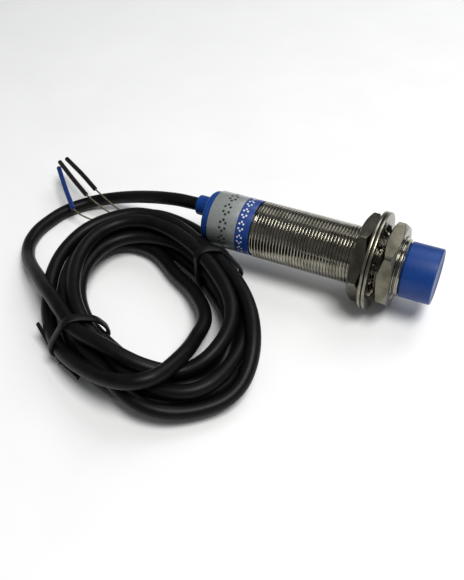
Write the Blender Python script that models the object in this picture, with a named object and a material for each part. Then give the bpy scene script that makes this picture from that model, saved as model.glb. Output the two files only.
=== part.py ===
"""Cylindrical inductive proximity sensor, M18 x 1, with a pre-wired three-core cable.

Metres, +Z up. The barrel lies along X with the sensing face towards +X. The two lock washers
stand on the surface z = 0, and the origin is below the middle of the sensor's length.
"""

import math

import bmesh
import bpy
from mathutils import Matrix, Vector

MM = 0.001
CLEAR = 0.3 * MM  # air kept between neighbouring solids

# Axial stations of the housing
FACE_X = 40.0 * MM
CAP_REAR_X = 30.7 * MM
THREAD_REAR_X = -16.4 * MM
LABEL_REAR_X = -30.9 * MM
FLANGE_REAR_X = -33.6 * MM
NECK_END_X = -40.0 * MM

# Barrel and thread
THREAD_R = 9.0 * MM
BORE_R = 7.7 * MM
LABEL_R = 8.9 * MM
LABEL_THICK = 0.2 * MM

# Nuts and lock washers
NUT_AF = 24.0 * MM
NUT_THICK = 4.0 * MM
NUT_BORE_R = THREAD_R + CLEAR
NUT_CHAMFER = math.radians(30)
WASHER_R = 15.0 * MM
WASHER_THICK = 0.9 * MM
WASHER_RING_R = 11.4 * MM  # inner edge of the plain ring, where the teeth begin
TOOTH_TIP_R = 9.5 * MM
TEETH = 12
REAR_NUT_X = 16.3 * MM  # rear face of each nut or washer
REAR_WASHER_X = REAR_NUT_X + NUT_THICK + CLEAR
FRONT_WASHER_X = REAR_WASHER_X + WASHER_THICK + CLEAR
FRONT_NUT_X = 24.7 * MM
REAR_NUT_TURN = math.radians(65)  # where one corner of each nut points, about +X from -Y
FRONT_NUT_TURN = math.radians(47)

AXIS_Z = WASHER_R

# Sensing head
CAP_R = 8.4 * MM
CAP_WALL = 1.0 * MM
SPIGOT_R = BORE_R - CLEAR
CAP_SPIGOT_X = 26.2 * MM
HEAD_R = 6.6 * MM
CORE_R = HEAD_R - CLEAR
CORE_REAR_X = 34.1 * MM
CORE_FRONT_X = FACE_X - CAP_WALL - CLEAR
GROOVE_IN_R = 2.6 * MM
GROOVE_OUT_R = 5.4 * MM
GROOVE_FLOOR_X = 35.4 * MM
LEAD_RING_R = 4.9 * MM
LEAD_R = 0.15 * MM

# Electronics
BOARD_REAR_X = -21.5 * MM
BOARD_FRONT_X = 33.0 * MM
BOARD_WIDTH = 12.0 * MM
BOARD_THICK = 1.0 * MM
BOARD_TOP = BOARD_THICK / 2 + CLEAR

# Rear cap and cable
REAR_SPIGOT_X = -26.2 * MM
NECK_R = 3.3 * MM
NECK_Y = 3.8 * MM
FLANGE_ROUND = 1.3 * MM
WINDOW_Y = -4.4 * MM
WINDOW_R = 1.6 * MM
CABLE_R = 2.2 * MM
CONDUCTOR_R = 0.85 * MM
STRAND_R = 0.3 * MM

# Wound cable: an oval bundle lying beside the rear of the barrel
COIL_CENTRE = Vector((-37.3 * MM, -36.2 * MM, 0.0))
COIL_MAJOR_TURN = math.radians(-42)
COIL_OUTER = (46.5 * MM, 30.0 * MM)
COIL_INNER = (26.5 * MM, 16.8 * MM)
COIL_BOTTOM = 1.5 * MM
COIL_TOP = 13.2 * MM
TIE_R = 0.6 * MM
TIE_SHIFT = 6.0 * MM  # along the oval's long axis, from its short one

# The free stretch of the cable, from the neck to the side of the bundle
LEAD_ROUTE = [
    (-40.3, 3.8, 15.0),
    (-47.1, 3.8, 14.7),
    (-52.5, 4.2, 13.6),
    (-58.4, 5.0, 11.8),
    (-67.5, 6.3, 8.4),
    (-76.2, 6.5, 5.2),
    (-83.7, 4.3, 3.2),
    (-88.9, -0.5, 2.5),
    (-91.9, -5.6, 2.3),
    (-93.4, -11.7, 2.25),
    (-93.8, -17.4, 2.25),
    (-92.7, -22.8, 2.25),
    (-89.1, -28.8, 2.25),
    (-84.2, -34.2, 2.25),
    (-75.8, -40.8, 2.25),
]

# The cable's far end, where it leaves the bundle behind the lead
TAIL_ROUTE = [(-48.0, 7.2, 2.25), (-55.0, 6.9, 2.25), (-61.0, 5.6, 2.25), (-66.5, 2.9, 2.25)]

# Conductor ends: bare strand start, its middle, start of the slug, the slug's middle and tip
WIRE_ROUTES = {
    "blue": [(-68.2, 1.2, 2.3), (-76.0, -6.2, 4.2), (-85.6, -6.2, 6.4), (-93.5, 0.9, 7.8),
             (-103.8, 11.0, 8.0)],
    "brown": [(-68.2, 2.4, 3.2), (-73.5, -1.0, 4.6), (-85.2, 1.5, 7.6), (-93.4, 6.1, 8.6),
              (-104.9, 13.5, 8.8)],
    "black": [(-67.6, 3.6, 3.8), (-71.0, 0.6, 5.8), (-83.1, 4.5, 8.6), (-91.7, 9.1, 9.8),
              (-102.6, 15.1, 9.8)],
}

STEEL = dict(roughness=0.25, metallic=1.0)
PLASTIC = dict(roughness=0.4, metallic=0.0)
NICKEL = ((0.60, 0.58, 0.54), STEEL)
ZINC = ((0.42, 0.40, 0.36), STEEL)
COPPER = ((0.72, 0.36, 0.18), STEEL)
BLUE = ((0.02, 0.07, 0.30), PLASTIC)
BLACK = ((0.012, 0.012, 0.013), PLASTIC)
BROWN = ((0.08, 0.03, 0.015), PLASTIC)
SILVER = ((0.50, 0.52, 0.50), dict(roughness=0.35, metallic=0.8))
FERRITE = ((0.05, 0.05, 0.055), dict(roughness=0.6, metallic=0.0))
NYLON = ((0.75, 0.73, 0.66), PLASTIC)
RESIN = ((0.09, 0.07, 0.05), PLASTIC)
BOARD = ((0.02, 0.16, 0.06), PLASTIC)
CERAMIC = ((0.30, 0.24, 0.16), PLASTIC)
RED_LENS = ((0.60, 0.03, 0.02), dict(roughness=0.15, metallic=0.0))


# ---------------------------------------------------------------- helpers


def material(name, look):
    """One Principled material for one sub-part."""
    colour, finish = look
    made = bpy.data.materials.new(name)
    made.use_nodes = True
    shader = made.node_tree.nodes["Principled BSDF"]
    shader.inputs["Base Color"].default_value = (*colour, 1.0)
    shader.inputs["Roughness"].default_value = finish["roughness"]
    shader.inputs["Metallic"].default_value = finish["metallic"]
    return made


def place(name, data, look, at=(0, 0, 0), parent=None):
    """Link an object for one sub-part, with its own material."""
    made = bpy.data.objects.new(name, data)
    bpy.context.collection.objects.link(made)
    made.location = at
    made.parent = parent
    if look is not None:
        data.materials.append(material(name + "_finish", look))
    return made


def finish_mesh(name, bm, smooth_angle=35):
    """Close up a bmesh, point its faces outwards and shade its round parts smooth."""
    bmesh.ops.remove_doubles(bm, verts=bm.verts, dist=1e-7)
    bmesh.ops.recalc_face_normals(bm, faces=bm.faces)
    mesh = bpy.data.meshes.new(name)
    bm.to_mesh(mesh)
    bm.free()
    mesh.shade_smooth()
    mesh.set_sharp_from_angle(angle=math.radians(smooth_angle))
    return mesh


def turned(name, profile, segments=32):
    """A solid of revolution about X. The profile is a closed outline of (x, radius) points."""
    bm = bmesh.new()
    points = [bm.verts.new((x, 0.0, -radius)) for x, radius in profile]
    edges = []
    for first, second in zip(points, points[1:] + points[:1]):
        on_axis = first.co.yz.length < 1e-9 and second.co.yz.length < 1e-9
        if not on_axis:
            edges.append(bm.edges.new((first, second)))
    bmesh.ops.spin(bm, geom=points + edges, axis=(1, 0, 0), cent=(0, 0, 0), angle=2 * math.pi,
                   steps=segments, use_merge=True)
    return finish_mesh(name, bm)


def box(name, low, high):
    """A box between two corners."""
    bm = bmesh.new()
    bmesh.ops.create_cube(bm, size=1.0)
    low, high = Vector(low), Vector(high)
    for vert in bm.verts:
        vert.co = [low[i] if vert.co[i] < 0 else high[i] for i in range(3)]
    return finish_mesh(name, bm)


def tube(name, points, radius, resolution=2, cyclic=False):
    """A round cord or wire along points, as a bevelled curve with filled caps."""
    curve = bpy.data.curves.new(name, "CURVE")
    curve.dimensions = "3D"
    curve.bevel_depth = radius
    curve.bevel_resolution = resolution
    curve.use_fill_caps = not cyclic
    spline = curve.splines.new("POLY")
    spline.points.add(len(points) - 1)
    for slot, point in zip(spline.points, points):
        slot.co = (*point, 1.0)
    spline.use_cyclic_u = cyclic
    spline.use_smooth = True
    return curve


def smooth_route(points, step):
    """Points about `step` apart along a smooth curve through the route's own points."""
    ends = [2 * points[0] - points[1]] + points + [2 * points[-1] - points[-2]]
    path = []
    for before, start, end, after in zip(ends, ends[1:], ends[2:], ends[3:]):
        count = max(1, round((end - start).length / step))
        for i in range(count):
            t = i / count
            path.append(0.5 * (2 * start + (end - before) * t
                               + (2 * before - 5 * start + 4 * end - after) * t * t
                               + (3 * start - before - 3 * end + after) * t ** 3))
    path.append(points[-1])
    return path


def cut(target, tool_mesh, at=(0, 0, 0), parent=None, operation="DIFFERENCE"):
    """Boolean a hidden tool object into the target."""
    tool = place(target.name + "_tool", tool_mesh, None, at, parent)
    tool.hide_render = True
    tool.display_type = "WIRE"
    step = target.modifiers.new(operation.title(), "BOOLEAN")
    step.object = tool
    step.operation = operation
    return tool


def rod(radius, x0, x1, segments=16):
    """Profile-turned plain cylinder, used for pins, bores and cutters."""
    return turned("rod", [(x0, 0), (x0, radius), (x1, radius), (x1, 0)], segments)


def metres(route):
    return [Vector(point) * MM for point in route]


# ---------------------------------------------------------------- housing


def make_barrel(axis):
    """Nickel-plated brass tube: M18 envelope, plain tail under the label, stepped bore."""
    front = CAP_REAR_X - CLEAR
    tail_r = LABEL_R - LABEL_THICK - CLEAR
    rear = LABEL_REAR_X + CLEAR
    edge = 0.5 * MM
    profile = [
        (rear, BORE_R), (rear, tail_r), (THREAD_REAR_X, tail_r), (THREAD_REAR_X, THREAD_R - edge),
        (THREAD_REAR_X + edge, THREAD_R), (front - edge, THREAD_R), (front, THREAD_R - edge),
        (front, BORE_R),
    ]
    place("barrel", turned("barrel", profile, 40), NICKEL, parent=axis)


def make_label(axis):
    """Thin printed sleeve wrapped round the plain tail."""
    inner = LABEL_R - LABEL_THICK
    front = THREAD_REAR_X - CLEAR
    profile = [(LABEL_REAR_X, inner), (LABEL_REAR_X, LABEL_R), (front, LABEL_R), (front, inner)]
    place("label", turned("label", profile, 40), SILVER, parent=axis)


def make_sensing_cap(axis):
    """Blue cup over the coil end, pressed into the barrel by a thinner spigot."""
    inside = FACE_X - CAP_WALL
    edge = 0.3 * MM
    profile = [
        (CAP_SPIGOT_X, HEAD_R), (CAP_SPIGOT_X, SPIGOT_R), (CAP_REAR_X, SPIGOT_R),
        (CAP_REAR_X, CAP_R - edge), (CAP_REAR_X + edge, CAP_R), (FACE_X - edge, CAP_R),
        (FACE_X, CAP_R - edge), (FACE_X, 0), (inside, 0), (inside, HEAD_R),
    ]
    place("sensing_cap", turned("sensing_cap", profile, 40), BLUE, parent=axis)


def make_rear_cap(axis):
    """Blue end cap: spigot, rounded flange, and an off-centre neck that holds the cable."""
    flange_front = LABEL_REAR_X - CLEAR
    flange_r = LABEL_R - 0.5 * MM
    arc = []
    for i in range(5):
        angle = math.radians(90 * i / 4)
        arc.append((FLANGE_REAR_X + FLANGE_ROUND * (1 - math.sin(angle)),
                    flange_r - FLANGE_ROUND * (1 - math.cos(angle))))
    profile = [(REAR_SPIGOT_X, 0), (REAR_SPIGOT_X, SPIGOT_R), (flange_front, SPIGOT_R),
               (flange_front, flange_r), *arc, (FLANGE_REAR_X, 0)]
    cap = place("rear_cap", turned("rear_cap", profile, 40), BLUE, parent=axis)
    edge = 0.4 * MM
    inside = FLANGE_REAR_X + 2 * MM
    neck = [(inside, 0), (inside, NECK_R), (NECK_END_X + edge, NECK_R), (NECK_END_X, NECK_R - edge),
            (NECK_END_X, 0)]
    cut(cap, turned("neck", neck, 24), (0, NECK_Y, 0), axis, "UNION")
    bore_end = REAR_SPIGOT_X + MM
    cut(cap, rod(CABLE_R + CLEAR, NECK_END_X - MM, bore_end, 20), (0, NECK_Y, 0), axis)
    cut(cap, rod(WINDOW_R + CLEAR, FLANGE_REAR_X - MM, bore_end, 16), (0, WINDOW_Y, 0), axis)


def make_led_window(axis):
    """Clear red light pipe, flush with the rear face of the cap."""
    front = REAR_SPIGOT_X - MM
    place("led_window", rod(WINDOW_R, FLANGE_REAR_X, front), RED_LENS, (0, WINDOW_Y, 0), axis)


# ---------------------------------------------------------------- nuts and washers


def make_nut(name, x, turn, axis):
    """Thin M18 hexagon nut, its corners taken down by a 30 degree chamfer on both faces."""
    corner_r = NUT_AF / 2 / math.cos(math.radians(30))
    rise = (corner_r - NUT_AF / 2) * math.tan(NUT_CHAMFER)
    bm = bmesh.new()
    bmesh.ops.create_cone(bm, cap_ends=True, segments=6, radius1=corner_r, radius2=corner_r,
                          depth=NUT_THICK)
    lie_down = Matrix.Rotation(math.radians(90), 4, "Y")
    stand = Matrix.Translation((NUT_THICK / 2, 0, 0))
    bmesh.ops.transform(bm, matrix=stand @ lie_down, verts=bm.verts)
    # a corner starts at -Z; turning it by 90 degrees less than `turn` brings it round from -Y
    bmesh.ops.rotate(bm, verts=bm.verts, cent=(0, 0, 0),
                     matrix=Matrix.Rotation(-turn - math.radians(90), 3, "X"))
    nut = place(name, finish_mesh(name, bm), NICKEL, (x, 0, 0), axis)
    lens = [
        (0, NUT_BORE_R + 0.4 * MM), (0, NUT_AF / 2), (rise, corner_r + 0.02 * MM),
        (NUT_THICK - rise, corner_r + 0.02 * MM), (NUT_THICK, NUT_AF / 2),
        (NUT_THICK, NUT_BORE_R + 0.4 * MM), (NUT_THICK - 0.4 * MM, NUT_BORE_R),
        (0.4 * MM, NUT_BORE_R),
    ]
    cut(nut, turned("lens", lens, 48), (x, 0, 0), axis, "INTERSECT")


def make_lock_washer(name, x, twist, forward, axis):
    """Internal-tooth lock washer: a flat ring with twisted teeth pointing inwards."""
    flat = [(0, WASHER_RING_R), (0, WASHER_R), (WASHER_THICK, WASHER_R),
            (WASHER_THICK, WASHER_RING_R)]
    washer = place(name, turned(name, flat, 48), ZINC, (x, 0, 0), axis)
    tooth_thick = 0.6 * MM
    tooth_width = 2.2 * MM
    root = WASHER_RING_R + 0.6 * MM
    bm = bmesh.new()
    for i in range(TEETH):
        made = bmesh.ops.create_cube(bm, size=1.0)["verts"]
        shape = Matrix.Diagonal((tooth_thick, tooth_width, root - TOOTH_TIP_R, 1))
        tilt = Matrix.Rotation(twist, 4, "Z")
        out = Matrix.Translation((WASHER_THICK / 2 + forward, 0, (root + TOOTH_TIP_R) / 2))
        around = Matrix.Rotation(2 * math.pi * i / TEETH, 4, "X")
        bmesh.ops.transform(bm, matrix=around @ out @ tilt @ shape, verts=made)
    cut(washer, finish_mesh("teeth", bm), (x, 0, 0), axis, "UNION")


# ---------------------------------------------------------------- sensing head


def make_sensing_head(axis):
    """Ferrite pot core with its bobbin and winding, and the carrier behind it."""
    core = [
        (CORE_REAR_X, 0), (CORE_REAR_X, CORE_R), (CORE_FRONT_X, CORE_R),
        (CORE_FRONT_X, GROOVE_OUT_R), (GROOVE_FLOOR_X, GROOVE_OUT_R),
        (GROOVE_FLOOR_X, GROOVE_IN_R), (CORE_FRONT_X, GROOVE_IN_R), (CORE_FRONT_X, 0),
    ]
    pot = place("ferrite_core", turned("ferrite_core", core, 32), FERRITE, parent=axis)
    carrier_rear, carrier_front = 29.8 * MM, CORE_REAR_X - CLEAR
    carrier = place("core_carrier", rod(CORE_R, carrier_rear, carrier_front, 32), NYLON,
                    parent=axis)
    plug_rear, plug_front = 20.0 * MM, CAP_SPIGOT_X - CLEAR
    plug = place("potting_plug", rod(SPIGOT_R, plug_rear, plug_front, 32), RESIN, parent=axis)
    half = BOARD_WIDTH / 2 + CLEAR
    for block in (carrier, plug):
        slot = box("slot", (0, -half, -BOARD_TOP), (BOARD_FRONT_X + CLEAR, half, BOARD_TOP))
        cut(block, slot, parent=axis)
    for block in (pot, carrier, plug):
        for y, z in lead_places():
            cut(block, rod(0.5 * MM, 19 * MM, GROOVE_FLOOR_X + MM, 8), (0, y, z), axis)
    inner, outer = GROOVE_IN_R + CLEAR, 4.4 * MM
    wall, tube_r = 0.4 * MM, GROOVE_IN_R + 0.7 * MM
    rear, front = GROOVE_FLOOR_X + CLEAR, CORE_FRONT_X - CLEAR
    spool = [(rear, inner), (rear, outer), (rear + wall, outer), (rear + wall, tube_r),
             (front - wall, tube_r), (front - wall, outer), (front, outer), (front, inner)]
    place("coil_bobbin", turned("coil_bobbin", spool, 24), NYLON, parent=axis)
    low, high = rear + wall + CLEAR, front - wall - CLEAR
    winding = [(low, tube_r + CLEAR), (low, outer - 0.1 * MM), (high, outer - 0.1 * MM),
               (high, tube_r + CLEAR)]
    place("coil_winding", turned("coil_winding", winding, 24), COPPER, parent=axis)


def lead_places():
    """Where the two winding leads pass: either side, above the circuit board."""
    angle = math.radians(50)
    side, up = LEAD_RING_R * math.cos(angle), LEAD_RING_R * math.sin(angle)
    return [(side, up), (-side, up)]


def make_coil_leads(axis):
    """Enamelled wires from the winding back to the circuit board."""
    for name, (y, z) in zip(("coil_lead_a", "coil_lead_b"), lead_places()):
        down = BOARD_TOP + LEAD_R
        route = [(37.4 * MM, y, z), (30 * MM, y, z), (19.5 * MM, y, z), (17.5 * MM, y, z * 0.8),
                 (15.8 * MM, y, down + 0.5 * MM), (14.2 * MM, y, down)]
        points = [Vector(point) for point in route]
        place(name, tube(name, points, LEAD_R), COPPER, parent=axis)


# ---------------------------------------------------------------- electronics


def make_board(axis):
    half = BOARD_WIDTH / 2
    low = (BOARD_REAR_X, -half, -BOARD_THICK / 2)
    high = (BOARD_FRONT_X, half, BOARD_THICK / 2)
    place("circuit_board", box("circuit_board", low, high), BOARD, parent=axis)


def make_leaded_package(name, x, y, body, legs, axis):
    """A moulded package with `legs` gull-wing legs along both long sides."""
    length, width, height = body
    low = (x - length / 2, y - width / 2, BOARD_TOP + 0.15 * MM)
    high = (x + length / 2, y + width / 2, BOARD_TOP + height)
    package = place(name, box(name, low, high), BLACK, parent=axis)
    pitch = length / legs
    bm = bmesh.new()
    for i in range(legs):
        leg_x = x + (i - (legs - 1) / 2) * pitch
        made = bmesh.ops.create_cube(bm, size=1.0)["verts"]
        shape = Matrix.Diagonal((0.4 * pitch, width + 1.6 * MM, 0.3 * MM, 1))
        spot = Matrix.Translation((leg_x, y, BOARD_TOP + 0.15 * MM))
        bmesh.ops.transform(bm, matrix=spot @ shape, verts=made)
    cut(package, finish_mesh("legs", bm), parent=axis, operation="UNION")


def make_components(axis):
    """The oscillator, switching stage, protection and indicator parts on the board."""
    make_leaded_package("oscillator_chip", 7.0 * MM, 0.0, (5.0 * MM, 3.9 * MM, 1.6 * MM), 4, axis)
    make_leaded_package("output_transistor", -3.0 * MM, 2.0 * MM, (4.5 * MM, 2.5 * MM, 1.5 * MM), 3,
                        axis)
    chips = [("resistor_1", 12.5, -4.0), ("resistor_2", 1.5, -3.8), ("resistor_3", -3.0, -3.8),
             ("capacitor_1", 12.2, 0.0), ("capacitor_2", 2.0, 3.8)]
    for name, x, y in chips:
        look = BLACK if name.startswith("resistor") else CERAMIC
        low = ((x - 1.5) * MM, (y - 0.75) * MM, BOARD_TOP)
        high = ((x + 1.5) * MM, (y + 0.75) * MM, BOARD_TOP + 0.7 * MM)
        place(name, box(name, low, high), look, parent=axis)
    can_r = 2.0 * MM
    place("smoothing_capacitor", rod(can_r, -13.0 * MM, -7.5 * MM), SILVER,
          (0, 0, BOARD_TOP + can_r), axis)
    diode_r = 0.8 * MM
    place("protection_diode", rod(diode_r, -12.5 * MM, -9.0 * MM, 12), RED_LENS,
          (0, -4.0 * MM, BOARD_TOP + diode_r), axis)
    led_r = 1.45 * MM
    rear = REAR_SPIGOT_X + CLEAR
    dome = [(rear + led_r * (1 - math.cos(math.radians(a))), led_r * math.sin(math.radians(a)))
            for a in (0, 30, 60, 90)]
    lens = [*dome, (BOARD_REAR_X - 0.8 * MM, led_r), (BOARD_REAR_X - 0.8 * MM, led_r + 0.2 * MM),
            (BOARD_REAR_X - CLEAR, led_r + 0.2 * MM), (BOARD_REAR_X - CLEAR, 0)]
    place("indicator_led", turned("indicator_led", lens, 16), RED_LENS, (0, WINDOW_Y, 0), axis)


def make_cable_entry(axis):
    """Jacket end held in the neck, its crimp ring, and the three conductors to the board."""
    jacket_end = REAR_SPIGOT_X + 2.0 * MM
    place("cable_jacket_end", rod(CABLE_R, NECK_END_X, jacket_end, 20), BLACK,
          (0, NECK_Y, 0), axis)
    ring_rear, ring_front = REAR_SPIGOT_X + CLEAR, jacket_end - CLEAR
    ring = [(ring_rear, CABLE_R + CLEAR), (ring_rear, CABLE_R + MM), (ring_front, CABLE_R + MM),
            (ring_front, CABLE_R + CLEAR)]
    place("crimp_ring", turned("crimp_ring", ring, 20), ZINC, (0, NECK_Y, 0), axis)
    core_r = 0.5 * MM
    looks = {"brown": BROWN, "black": BLACK, "blue": BLUE}
    start = jacket_end + CLEAR
    for i, (name, look) in enumerate(looks.items()):
        y = NECK_Y + (i - 1) * 1.5 * MM
        route = [(start, NECK_Y + (i - 1) * 1.3 * MM, 0), (start + 0.8 * MM, y, 0.2 * MM),
                 (BOARD_REAR_X + 0.5 * MM, y, BOARD_TOP + core_r + 0.3 * MM),
                 (BOARD_REAR_X + 3.5 * MM, y, BOARD_TOP + core_r)]
        points = [Vector(point) for point in route]
        place(name + "_conductor", tube(name, points, core_r), look, parent=axis)


# ---------------------------------------------------------------- cable outside the sensor


def oval_point(radii, angle):
    """A point on an oval about the coil's centre, turned to the coil's long axis."""
    local = Vector((radii[0] * math.cos(angle), radii[1] * math.sin(angle), 0.0))
    return COIL_CENTRE + Matrix.Rotation(COIL_MAJOR_TURN, 3, "Z") @ local


def bundle_section(sides):
    """Corners of a rounded square section, each from -1 to 1 across and up."""
    corners = []
    for j in range(sides):
        turn = 2 * math.pi * (j + 0.5) / sides
        across, up = math.cos(turn), math.sin(turn)
        swell = max(abs(across), abs(up)) ** -0.5
        corners.append((max(-1.0, min(1.0, across * swell)), max(-1.0, min(1.0, up * swell))))
    return corners


def make_cable_coil(axis):
    """Outer shape of the wound cable: an oval ring, relieved where the sensor lies over it."""
    steps, sides = 48, 10
    middle = (COIL_TOP + COIL_BOTTOM) / 2
    half_height = (COIL_TOP - COIL_BOTTOM) / 2
    bm = bmesh.new()
    rings = []
    for i in range(steps):
        angle = 2 * math.pi * i / steps
        inner, outer = oval_point(COIL_INNER, angle), oval_point(COIL_OUTER, angle)
        ring = []
        for across, up in bundle_section(sides):
            point = inner.lerp(outer, (1 + across) / 2)
            point.z = middle + half_height * up
            ring.append(bm.verts.new(point))
        rings.append(ring)
    for first, second in zip(rings, rings[1:] + rings[:1]):
        for j in range(sides):
            k = (j + 1) % sides
            bm.faces.new((first[j], second[j], second[k], first[k]))
    coil = place("cable_coil", finish_mesh("cable_coil", bm), BLACK)
    barrel_room = rod(LABEL_R + CLEAR, FLANGE_REAR_X - CLEAR, 10 * MM, 40)
    cut(coil, barrel_room, parent=axis)
    neck_room = rod(NECK_R + CLEAR, NECK_END_X - 2 * MM, FLANGE_REAR_X, 24)
    cut(coil, neck_room, (0, NECK_Y, 0), axis)


def make_cable_lead():
    """Free stretch of cable from the neck to the bundle, and the short tail that leaves it."""
    points = smooth_route(metres(LEAD_ROUTE), 5 * MM)
    place("cable_lead", tube("cable_lead", points, CABLE_R, 3), BLACK)
    tail = smooth_route(metres(TAIL_ROUTE), 5 * MM)
    place("cable_tail", tube("cable_tail", tail, CABLE_R, 3), BLACK)


def make_wire_ends():
    """The three conductor ends: a bare strand, then the slug of insulation left on its tip."""
    looks = {"brown": BROWN, "black": BLACK, "blue": BLUE}
    for name, route in WIRE_ROUTES.items():
        points = metres(route)
        gap = (points[3] - points[2]).normalized() * CLEAR
        bare = smooth_route(points[:3], 2 * MM)
        place(name + "_strand", tube(name, bare, STRAND_R), ZINC)
        slug = smooth_route([points[2] + gap, points[3], points[4]], 3 * MM)
        place(name + "_slug", tube(name, slug, CONDUCTOR_R), looks[name])


def tie_loop(side):
    """Rounded rectangle round the bundle's section, just past one end of the oval's short axis."""
    turn = Matrix.Rotation(COIL_MAJOR_TURN, 3, "Z")
    across = turn @ Vector((0, side, 0))
    inner, outer = (radii[1] * math.sqrt(1 - (TIE_SHIFT / radii[0]) ** 2)
                    for radii in (COIL_INNER, COIL_OUTER))
    centre = COIL_CENTRE + turn @ Vector((-side * TIE_SHIFT, 0, 0)) + across * (inner + outer) / 2
    room = CLEAR + TIE_R
    half = (outer - inner) / 2 + room
    low, high = TIE_R, COIL_TOP + room
    corner = 4 * MM
    points = []
    for sx, sz, start in ((1, 1, 0), (-1, 1, 90), (-1, -1, 180), (1, -1, 270)):
        for i in range(4):
            bend = math.radians(start + 30 * i)
            out = sx * (half - corner) + corner * math.cos(bend)
            up = (high + low) / 2 + sz * ((high - low) / 2 - corner) + corner * math.sin(bend)
            points.append(centre + across * out + Vector((0, 0, up)))
    return points


def make_ties():
    """Two wire ties that hold the bundle on its flatter sides."""
    place("tie_rear", tube("tie_rear", tie_loop(1), TIE_R, 2, cyclic=True), BLACK)
    place("tie_front", tube("tie_front", tie_loop(-1), TIE_R, 2, cyclic=True), BLACK)


def main():
    for old in list(bpy.data.objects):
        bpy.data.objects.remove(old)
    axis = bpy.data.objects.new("barrel_axis", None)
    bpy.context.collection.objects.link(axis)
    axis.location = (0, 0, AXIS_Z)
    make_barrel(axis)
    make_label(axis)
    make_sensing_cap(axis)
    make_rear_cap(axis)
    make_led_window(axis)
    make_nut("rear_nut", REAR_NUT_X, REAR_NUT_TURN, axis)
    make_nut("front_nut", FRONT_NUT_X, FRONT_NUT_TURN, axis)
    make_lock_washer("rear_lock_washer", REAR_WASHER_X, math.radians(8), 0.0, axis)
    make_lock_washer("front_lock_washer", FRONT_WASHER_X, math.radians(35), 0.5 * MM, axis)
    make_sensing_head(axis)
    make_coil_leads(axis)
    make_board(axis)
    make_components(axis)
    make_cable_entry(axis)
    make_cable_coil(axis)
    make_cable_lead()
    make_wire_ends()
    make_ties()


main()
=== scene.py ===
"""Looks of the inductive proximity sensor: threaded barrel, nuts, washers, label, wound cable.

Metres, +Z up. The barrel's axis runs along X at the height AXIS_Z, the sensing face towards +X.
"""

import math

import bmesh
import bpy
import numpy as np
from mathutils import Matrix, Vector


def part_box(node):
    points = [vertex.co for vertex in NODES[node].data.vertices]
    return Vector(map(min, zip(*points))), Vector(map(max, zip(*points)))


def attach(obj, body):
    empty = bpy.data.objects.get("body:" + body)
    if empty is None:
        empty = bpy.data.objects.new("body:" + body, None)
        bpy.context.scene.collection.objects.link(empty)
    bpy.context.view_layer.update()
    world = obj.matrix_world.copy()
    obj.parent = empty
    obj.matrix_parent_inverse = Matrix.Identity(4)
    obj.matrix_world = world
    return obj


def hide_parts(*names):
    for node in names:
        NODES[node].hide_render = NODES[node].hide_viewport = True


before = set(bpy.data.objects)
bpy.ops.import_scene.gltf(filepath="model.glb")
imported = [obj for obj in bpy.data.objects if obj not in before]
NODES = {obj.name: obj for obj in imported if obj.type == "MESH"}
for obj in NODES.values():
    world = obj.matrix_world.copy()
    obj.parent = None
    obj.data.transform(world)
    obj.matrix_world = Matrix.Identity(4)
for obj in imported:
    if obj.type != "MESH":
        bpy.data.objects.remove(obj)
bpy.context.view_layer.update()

MM = 0.001


# ---------------------------------------------------------------- places and sizes


def low(node):
    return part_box(node)[0]


def high(node):
    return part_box(node)[1]


AXIS_Z = (low("barrel").z + high("barrel").z) / 2
FACE_X = high("sensing_cap").x
CAP_REAR_X = high("barrel").x
LABEL_REAR_X = low("label").x
LABEL_MARGIN = 0.3 * MM
THREAD_REAR_X = high("label").x + LABEL_MARGIN
FLANGE_REAR_X = low("led_window").x
NECK_END_X = low("rear_cap").x

# Sizes that the plain solids don't carry, and those of the solids that the looks share
THREAD_R = 9.0 * MM
PITCH = 1.0 * MM
THREAD_DEPTH = 0.58 * MM
THREAD_END_R = 8.45 * MM
THREAD_SEGMENTS = 72
CREST_ROUNDING = 0.05 * MM
BORE_R = 7.7 * MM
SPIGOT_R = BORE_R - 0.3 * MM
LABEL_R = 8.9 * MM
LABEL_THICK = 0.2 * MM
TAIL_R = LABEL_R - 0.5 * MM
CAP_R = (high("sensing_cap").z - low("sensing_cap").z) / 2
FLANGE_R = 8.4 * MM
NECK_R = 3.3 * MM
NECK_Y = 3.8 * MM
WINDOW_Y = -4.4 * MM
WINDOW_R = 1.6 * MM

NUT_AF = 24.0 * MM
NUT_BORE_R = 9.3 * MM
NUT_TURNS = {"rear_nut": 65, "front_nut": 47}  # where one corner points, degrees from -Y up
WASHER_R = 15.0 * MM
WASHER_RING_R = 11.4 * MM
WASHER_THICK = 0.9 * MM
WASHER_BEHIND = {"rear_lock_washer": "rear_nut", "front_lock_washer": "rear_lock_washer"}
STACK_GAP = 0.3 * MM  # between neighbouring nuts and washers
TEETH = 12
TOOTH_TIP_R = 9.5 * MM
TOOTH_MIDDLE_R = 10.4 * MM
TOOTH_HALF_WIDTH = 1.1 * MM
TOOTH_NICK = math.radians(0.25)  # the steep edge on each side of a tooth

CABLE_R = 2.2 * MM
STRANDS_R = 0.33 * MM
CONDUCTOR_R = 0.85 * MM

BAND_X = -21.2 * MM  # where the label turns from silver to blue
BAND_BLUR = 0.05 * MM


# ---------------------------------------------------------------- materials

# Sockets of the Mix node that carry colours; their names are shared with its other types
MIX_COLOUR_A, MIX_COLOUR_B, MIX_COLOUR_OUT = 6, 7, 2
GRAIN_FINER = 6  # how much finer a surface's grain is than the drift of its colour


def srgb(red, green, blue):
    """A colour given as it looks on a screen, 0 to 255, as linear light."""
    made = []
    for value in (red, green, blue):
        c = value / 255
        made.append(c / 12.92 if c <= 0.04045 else ((c + 0.055) / 1.055) ** 2.4)
    return (*made, 1.0)


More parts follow.
